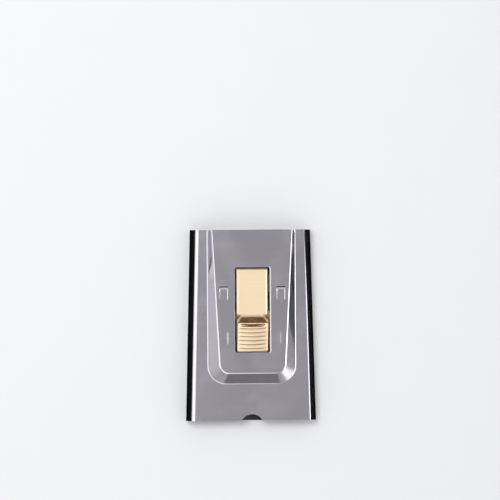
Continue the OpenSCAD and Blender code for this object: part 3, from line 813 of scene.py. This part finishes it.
def slide_rows(slide, inset, pad_steps=120):
    """Rows (y, top z) of the slide from front to rear, inset from its outer face."""
    front, rear = slide_high[1], slide_low[1]
    roll, apron = slide.edge_roll, slide.apron_height
    crest, foot, _ = pad_marks(slide)
    fall = slide.rise - slide.rear_rise
    straight = crest - rear - roll
    quarter = quarter_turn(8)
    rows = [(front - roll * (1 - math.cos(a)), apron - roll * (1 - math.sin(a))) for a in quarter]
    rows += [(front - roll - (front - roll - foot) * i / 8, apron) for i in range(1, 8)]
    rows += [(foot - d, apron + h) for d, h in
             bent_wall(slide.wall_run, slide.rise, slide.foot_radius, slide.crest_radius,
                       bend_steps=12, straight_steps=6)]
    rows += [(crest - straight * i / pad_steps,
              apron + slide.rise - fall * straight / (crest - rear) * i / pad_steps)
             for i in range(1, pad_steps)]
    rows += [(rear + roll * (1 - math.sin(a)), apron + slide.rear_rise - roll * (1 - math.cos(a)))
             for a in quarter]
    if not inset:
        return rows
    kept = [(y, z) for y, z in rows if rear + inset < y < front - inset]
    return [(front - inset, kept[0][1])] + kept + [(rear + inset, kept[-1][1])]


def groove_drop(slide, crest, x, y):
    """Depth of the grooves at a point of the pad. They bow forward and fade out at the sides."""
    half = slide.width / 2
    bowed = y - slide.groove_bow * (x / half) ** 2
    turn = (crest - GROOVE_LEAD - bowed) / slide.groove_pitch
    near = min(slide.grooves - 1, max(0, round(turn)))
    depth = max(0, 1 - 2 * abs(turn - near)) ** GROOVE_SHARPNESS
    across = smooth((half - abs(x) - GROOVE_MARGIN) / GROOVE_FADE)
    if near == 0:
        depth *= FIRST_GROOVE_DEPTH
        across = smooth((slide.first_groove - abs(x)) / FIRST_GROOVE_FADE)
    return slide.groove_depth * depth * across * smooth((crest - y) / GROOVE_START)


def scoop_lift(slide, foot, x, y, z):
    """Lift that turns the finger wall's ends into softer slopes, so that it narrows to its foot."""
    run = (foot - y) / slide.wall_run
    if not 0 < run < 1:
        return 0
    ends = smooth((abs(x) - SCOOP_INNER - SCOOP_SPREAD * run) / SCOOP_SIDE)
    return ends * (slide.apron_height + slide.rise * smooth(run ** 0.8) - z)


def slide_skin(slide, inset):
    """Cross sections of one face of the slide, each from its right skirt to its left skirt."""
    half = slide.width / 2 - inset
    crest, foot, skirt = pad_marks(slide)
    quarter = quarter_turn(12)
    sections = []
    for y, z in slide_rows(slide, inset):
        climb = smooth((foot - y) / slide.wall_run)
        z -= inset
        r = min(SHOULDER + SHOULDER_GROWTH * climb - inset * 0.8, z - skirt - 0.05 * MM)
        wide = r * (APRON_SPREAD + (PAD_SPREAD - APRON_SPREAD) * climb)
        right = [(half, skirt)]
        right += [(half - wide + wide * math.cos(a), z - r + r * math.sin(a)) for a in quarter]
        right += [((half - wide) * (1 - i / 16), z) for i in range(1, 17)]
        section = right + [(-x, h) for x, h in reversed(right[:-1])]
        if not inset:
            section = [(x, h if h == skirt else h + scoop_lift(slide, foot, x, y, z)
                        - slide.crown * climb * (x / half) ** 2 - groove_drop(slide, crest, x, y))
                       for x, h in section]
        sections.append([(x, y, h) for x, h in section])
    return sections


def add_plate(bm, side, low, high):
    """A small square-edged plate between two corners, mirrored where side is -1."""
    mirrored = Vector((side, 1, 1))
    middle = (Vector(high) + Vector(low)) / 2 * mirrored
    size = Vector(high) - Vector(low)
    place = Matrix.Translation(middle) @ Matrix.Diagonal((*size, 1))
    bmesh.ops.create_cube(bm, size=1, matrix=place)


def add_legs(slide):
    """The legs with their hooks, and the arms with the wings that press on the latch."""
    crest, _, skirt = pad_marks(slide)
    leg_top = skirt + 0.3 * MM
    leg_rear, leg_front = slide_low[1] + 1.4 * MM, crest + 0.9 * MM
    hook_rear, hook_front = leg_rear + 2.5 * MM, leg_rear + 7 * MM
    wing_rear, wing_front = crest + 1.6 * MM, crest + 4.4 * MM
    half, t = slide.width / 2, slide.sheet
    low_z, wing_z = slide_low[2], slide.wing_height
    hook_x, wing_x = half + 1.15 * MM, slide_high[0]
    bm = bmesh.new()
    for side in (1, -1):
        add_plate(bm, side, (half - t, leg_rear, low_z), (half, leg_front, leg_top))
        add_plate(bm, side, (half - t / 2, hook_rear, low_z), (hook_x, hook_front, low_z + t))
        add_plate(bm, side, (half - t, leg_front - t, wing_z), (half, wing_front, leg_top))
        add_plate(bm, side, (half - t / 2, wing_rear, wing_z), (wing_x, wing_front, wing_z + t))
    return new_object("thumb_legs", bm)


class MESH_OT_scraper_thumb_pad(bpy.types.Operator):
    """Form the golden thumb slide with its apron, ribbed pad, legs, hooks and wings"""

    bl_idname = "mesh.scraper_thumb_pad"
    bl_label = "Thumb Slide"

    def execute(self, context):
        slide = context.scene.scraper_slide
        sheet = SheetBuilder()
        rims = []
        for inset in (0, slide.sheet):
            skin = slide_skin(slide, inset)
            sheet.grid(skin)
            sheet.face(skin[0])
            sheet.face(skin[-1])
            rims.append([row[0] for row in skin] + [row[-1] for row in reversed(skin)])
        sheet.fill(rims)
        for rim in rims:
            sheet.weigh(rim + rim[:1], 1.0)
        pad = sheet.object("thumb_pad")
        edge_modifiers(pad, 0.1 * MM, 50)
        legs = add_legs(slide)
        round_edges(legs, 0.06 * MM)
        for piece in (pad, legs):
            piece.data.materials.append(satin_gold())
            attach(piece, THUMB)
            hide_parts("thumb_slide")
        return {"FINISHED"}


# The carriage


class MESH_OT_scraper_latch_leaf(bpy.types.Operator):
    """Finish the latch spring as a leaf with rounded edges and a spring steel finish"""

    bl_idname = "mesh.scraper_latch_leaf"
    bl_label = "Latch Leaf"

    def execute(self, context):
        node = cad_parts["latch_spring"]
        bm = bmesh.new()
        bm.from_mesh(node.data)
        bm.transform(node.matrix_world)
        bmesh.ops.remove_doubles(bm, verts=bm.verts[:], dist=0.001 * MM)
        bmesh.ops.dissolve_limit(bm, angle_limit=math.radians(1), verts=bm.verts[:],
                                 edges=bm.edges[:])
        leaf = new_object("latch_leaf", bm)
        round_edges(leaf, 0.04 * MM)
        leaf.data.materials.append(spring_steel())
        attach(leaf, CARRIER)
        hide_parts("latch_spring")
        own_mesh(leaf)
        return {"FINISHED"}


class MATERIAL_OT_scraper_carriage(bpy.types.Operator):
    """Give the carrier, blade, clamp, studs and rivets their finishes"""

    bl_idname = "material.scraper_carriage"
    bl_label = "Carriage Finishes"

    def execute(self, context):
        finishes = {
            "blade_carrier": zinc(), "blade_stud_left": zinc(), "blade_stud_right": zinc(),
            "clamp_rivet_left": zinc(), "clamp_rivet_right": zinc(), "blade": blade_steel(),
            "blade_clamp": spring_steel(),
        }
        for name, finish in finishes.items():
            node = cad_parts[name]
            if node.material_slots:
                for slot in node.material_slots:
                    slot.material = finish
            else:
                node.data.materials.append(finish)
        return {"FINISHED"}


# The stage

COOL = (0.96, 0.95, 1.0)
WHITE = (1.0, 1.0, 1.0)
FLAG_TINT = (0.8, 0.85, 1.0)
AIM_HEIGHT = 0.37  # height of the view centre, as a share of the case's height
SENSOR = 36

# Patches of the light tent, each laid over those before it: left, right, rear and front in degrees,
# strength, softness of its edge in degrees, and tint. Left and right are measured from straight up
# towards +X, rear and front from there towards +Y.
TENT_BASE = 0.52
TENT_PATCHES = (
    (-110, -40, -40, 60, 0.72, 8, COOL),
    (-36, 3.5, -18, 20, 1.6, 3, WHITE),
    (-10, 16, 16, 46, 0.85, 6, WHITE),
    (-16, 9, -42, -12, 1.5, 5, WHITE),
    (3.5, 12, -13, 15, 0.358, 3, COOL),
    (12, 25, -40, 50, 0.5, 3, COOL),
    (25, 57, -16, 18, 3.0, 4, WHITE),
    (61, 95, -20, 50, 0.42, 5, COOL),
    (40, 64, -42, -16, 1.7, 12, WHITE),
    (2, 30, -67, -49, 0.23, 6, COOL),
    (-50, 60, 64, 90, 0.15, 10, COOL),
)

# Dark flags beside the rolled sides: name, side, strength, and the edges that each runs through,
# from its foot up. An edge is its distance out from the roll's axis and its heights at the rear and
# at the mouth, in millimetres.
FLAGS = (
    ("leaning_flag_left", -1, 0.004, ((3.2, 1.6, 1.6), (3.2, 5.2, 5.2), (1.9, 6.25, 6.25))),
    ("leaning_flag_right", 1, 0.004, ((3.2, 1.6, 1.6), (3.2, 5.2, 5.2), (0.8, 6.25, 6.25))),
    ("upright_flag", 1, 0.13, ((3.6, 1.6, 1.6), (3.6, 6.6, 13))),
)


def glow(name, colour, strength):
    """A surface that only shines, and its shader."""
    material, make = new_material(name)
    light = make.add("ShaderNodeEmission")
    make.feed_all(light, Color=(*colour, 1), Strength=strength)
    make.surface(light)
    return material, light


def only_in_metal(obj):
    """Shown by reflections alone, so that it is out of every picture and throws no shadow."""
    obj.visible_camera = False
    obj.visible_diffuse = False
    obj.visible_shadow = False
    obj.visible_transmission = False
    obj.visible_volume_scatter = False


def tent_light(a, b):
    """Colour of the light tent in one direction."""
    colour = Vector(COOL) * TENT_BASE
    for left, right, rear, front, strength, edge, shade in TENT_PATCHES:
        cover = 1.0
        for inside in (a - left, right - a, b - rear, front - b):
            cover *= smooth(inside / edge + 0.5)
        colour = colour.lerp(Vector(shade) * strength, cover)
    return colour


def add_tent(distance, step=2):
    """A ball round the scraper whose inside glows in soft patches."""
    def place(i, j):
        a = math.radians(-180 + step * i)
        b = math.radians(-90 + step * j)
        return (distance * math.sin(a) * math.cos(b), distance * math.sin(b),
                distance * math.cos(a) * math.cos(b))

    sheet = SheetBuilder()
    sheet.grid([[place(i, j) for i in range(360 // step + 1)] for j in range(180 // step + 1)])
    tent = new_object("light_tent", sheet.bm)
    colours = tent.data.color_attributes.new("Light", "FLOAT_COLOR", "POINT")
    for point, value in zip(tent.data.vertices, colours.data):
        x, y, z = point.co
        a = math.degrees(math.atan2(x, z))
        b = math.degrees(math.asin(max(-1, min(1, y / distance))))
        value.color = (*tent_light(a, b), 1)
    material, light = glow("light_tent", WHITE, 1.0)
    make = NodeMaker(material.node_tree)
    lit = make.add("ShaderNodeAttribute", attribute_name="Light")
    make.feed(lit.outputs["Color"], light.inputs["Color"])
    tent.data.materials.append(material)
    only_in_metal(tent)


def add_flag(case, name, side, strength, edges):
    """A dark flag close beside the case, which its rolled side mirrors as a black band."""
    ends = shell_low[1], shell_high[1]
    sheet = SheetBuilder()
    sheet.grid([[(side * (half_axis(case, y) + out * MM), y, z * MM)
                 for y, z in zip(ends, heights)] for out, *heights in edges])
    flag = sheet.object(name)
    flag.data.materials.append(glow(name, FLAG_TINT, strength)[0])
    only_in_metal(flag)


def add_floor(colour, half=3.0):
    bm = bmesh.new()
    bmesh.ops.create_grid(bm, x_segments=1, y_segments=1, size=half)
    floor = new_object("floor", bm)
    floor.location = (0, 0, cad_box[0][2] - 0.02 * MM)
    material, make = new_material("Pale Floor")
    mottle = make.noise(make.place(), scale=60.0)
    tone = make.mix(mottle, (*colour, 1), (*[c * 0.985 for c in colour], 1))
    shader = make.add("ShaderNodeBsdfPrincipled")
    make.feed_all(shader, Roughness=0.85, Base_Color=tone)
    make.surface(shader)
    floor.data.materials.append(material)


def add_lamp(scene):
    """A soft lamp that throws the scraper's shadow, and a plain world."""
    key = bpy.data.objects.new("key_lamp", bpy.data.lights.new("key_lamp", "AREA"))
    key.data.shape = "DISK"
    key.data.size = 0.5
    key.data.energy = 5.0
    key.location = (-0.35, 0.25, 0.9)
    key.rotation_euler = (-key.location).to_track_quat("-Z", "Y").to_euler()
    key.visible_glossy = False
    scene.collection.objects.link(key)
    scene.world = bpy.data.worlds.new("Studio")
    scene.world.use_nodes = True
    sky = scene.world.node_tree.nodes["Background"]
    sky.inputs["Color"].default_value = (0.97, 0.98, 1.0, 1)
    sky.inputs["Strength"].default_value = 0.72


def add_camera(scene, stage):
    """A long lens over the scraper, leaning to its left."""
    tilt = stage.view_tilt
    aim = Vector((0, stage.view_rise, shell_high[2] * AIM_HEIGHT))
    toward = Vector((-math.sin(tilt), 0, math.cos(tilt)))
    across = Vector((math.cos(tilt), 0, math.sin(tilt)))
    camera = bpy.data.objects.new("camera", bpy.data.cameras.new("camera"))
    camera.data.sensor_width = SENSOR
    camera.data.lens = SENSOR * stage.camera_distance / stage.view_width
    camera.data.clip_start = 0.05
    camera.data.clip_end = 20
    turn = Matrix((across, toward.cross(across), toward)).transposed()
    turn = turn @ Matrix.Rotation(-stage.view_roll, 3, "Z")
    camera.matrix_world = Matrix.Translation(aim + toward * stage.camera_distance) @ turn.to_4x4()
    scene.collection.objects.link(camera)
    scene.camera = camera


class SCENE_OT_scraper_stage(bpy.types.Operator):
    """Set the pale floor, the light tent, the dark flags, the lamp, the world and the camera"""

    bl_idname = "scene.scraper_stage"
    bl_label = "Stage"

    def execute(self, context):
        scene = context.scene
        add_floor(scene.scraper_finish.floor)
        add_tent(scene.scraper_stage.tent_radius)
        for flag in FLAGS:
            add_flag(scene.scraper_case, *flag)
        add_lamp(scene)
        add_camera(scene, scene.scraper_stage)
        scene.view_settings.view_transform = "Standard"
        return {"FINISHED"}


class VIEW3D_PT_scraper(bpy.types.Panel):
    """Lists the pieces of the scraper and the sizes that they are built from"""

    bl_idname = "VIEW3D_PT_scraper"
    bl_label = "Hob Scraper"
    bl_space_type = "VIEW_3D"
    bl_region_type = "UI"
    bl_category = "Hob Scraper"

    def draw(self, context):
        layout = self.layout
        for operator in BUILD_ORDER:
            layout.operator(operator.bl_idname)
        for name in GROUPS:
            group = getattr(context.scene, name)
            box = layout.box()
            box.label(text=type(group).__name__)
            for prop in type(group).__annotations__:
                box.prop(group, prop)


BUILD_ORDER = (
    MESH_OT_scraper_case_cover,
    MESH_OT_scraper_base_sheet,
    MESH_OT_scraper_thumb_pad,
    MESH_OT_scraper_latch_leaf,
    MATERIAL_OT_scraper_carriage,
    SCENE_OT_scraper_stage,
)

GROUPS = {
    "scraper_case": CaseSizes,
    "scraper_channel": ChannelSizes,
    "scraper_slide": SlideSizes,
    "scraper_finish": FinishColours,
    "scraper_stage": StageSizes,
}


def register():
    for cls in (*GROUPS.values(), *BUILD_ORDER, VIEW3D_PT_scraper):
        bpy.utils.register_class(cls)
    for name, group in GROUPS.items():
        setattr(bpy.types.Scene, name, PointerProperty(type=group))


def unregister():
    for name in GROUPS:
        delattr(bpy.types.Scene, name)
    for cls in (VIEW3D_PT_scraper, *reversed(BUILD_ORDER), *reversed(list(GROUPS.values()))):
        bpy.utils.unregister_class(cls)


def main():
    register()
    for operator in BUILD_ORDER:
        family, name = operator.bl_idname.split(".")
        getattr(getattr(bpy.ops, family), name)()


if __name__ == "__main__":
    main()
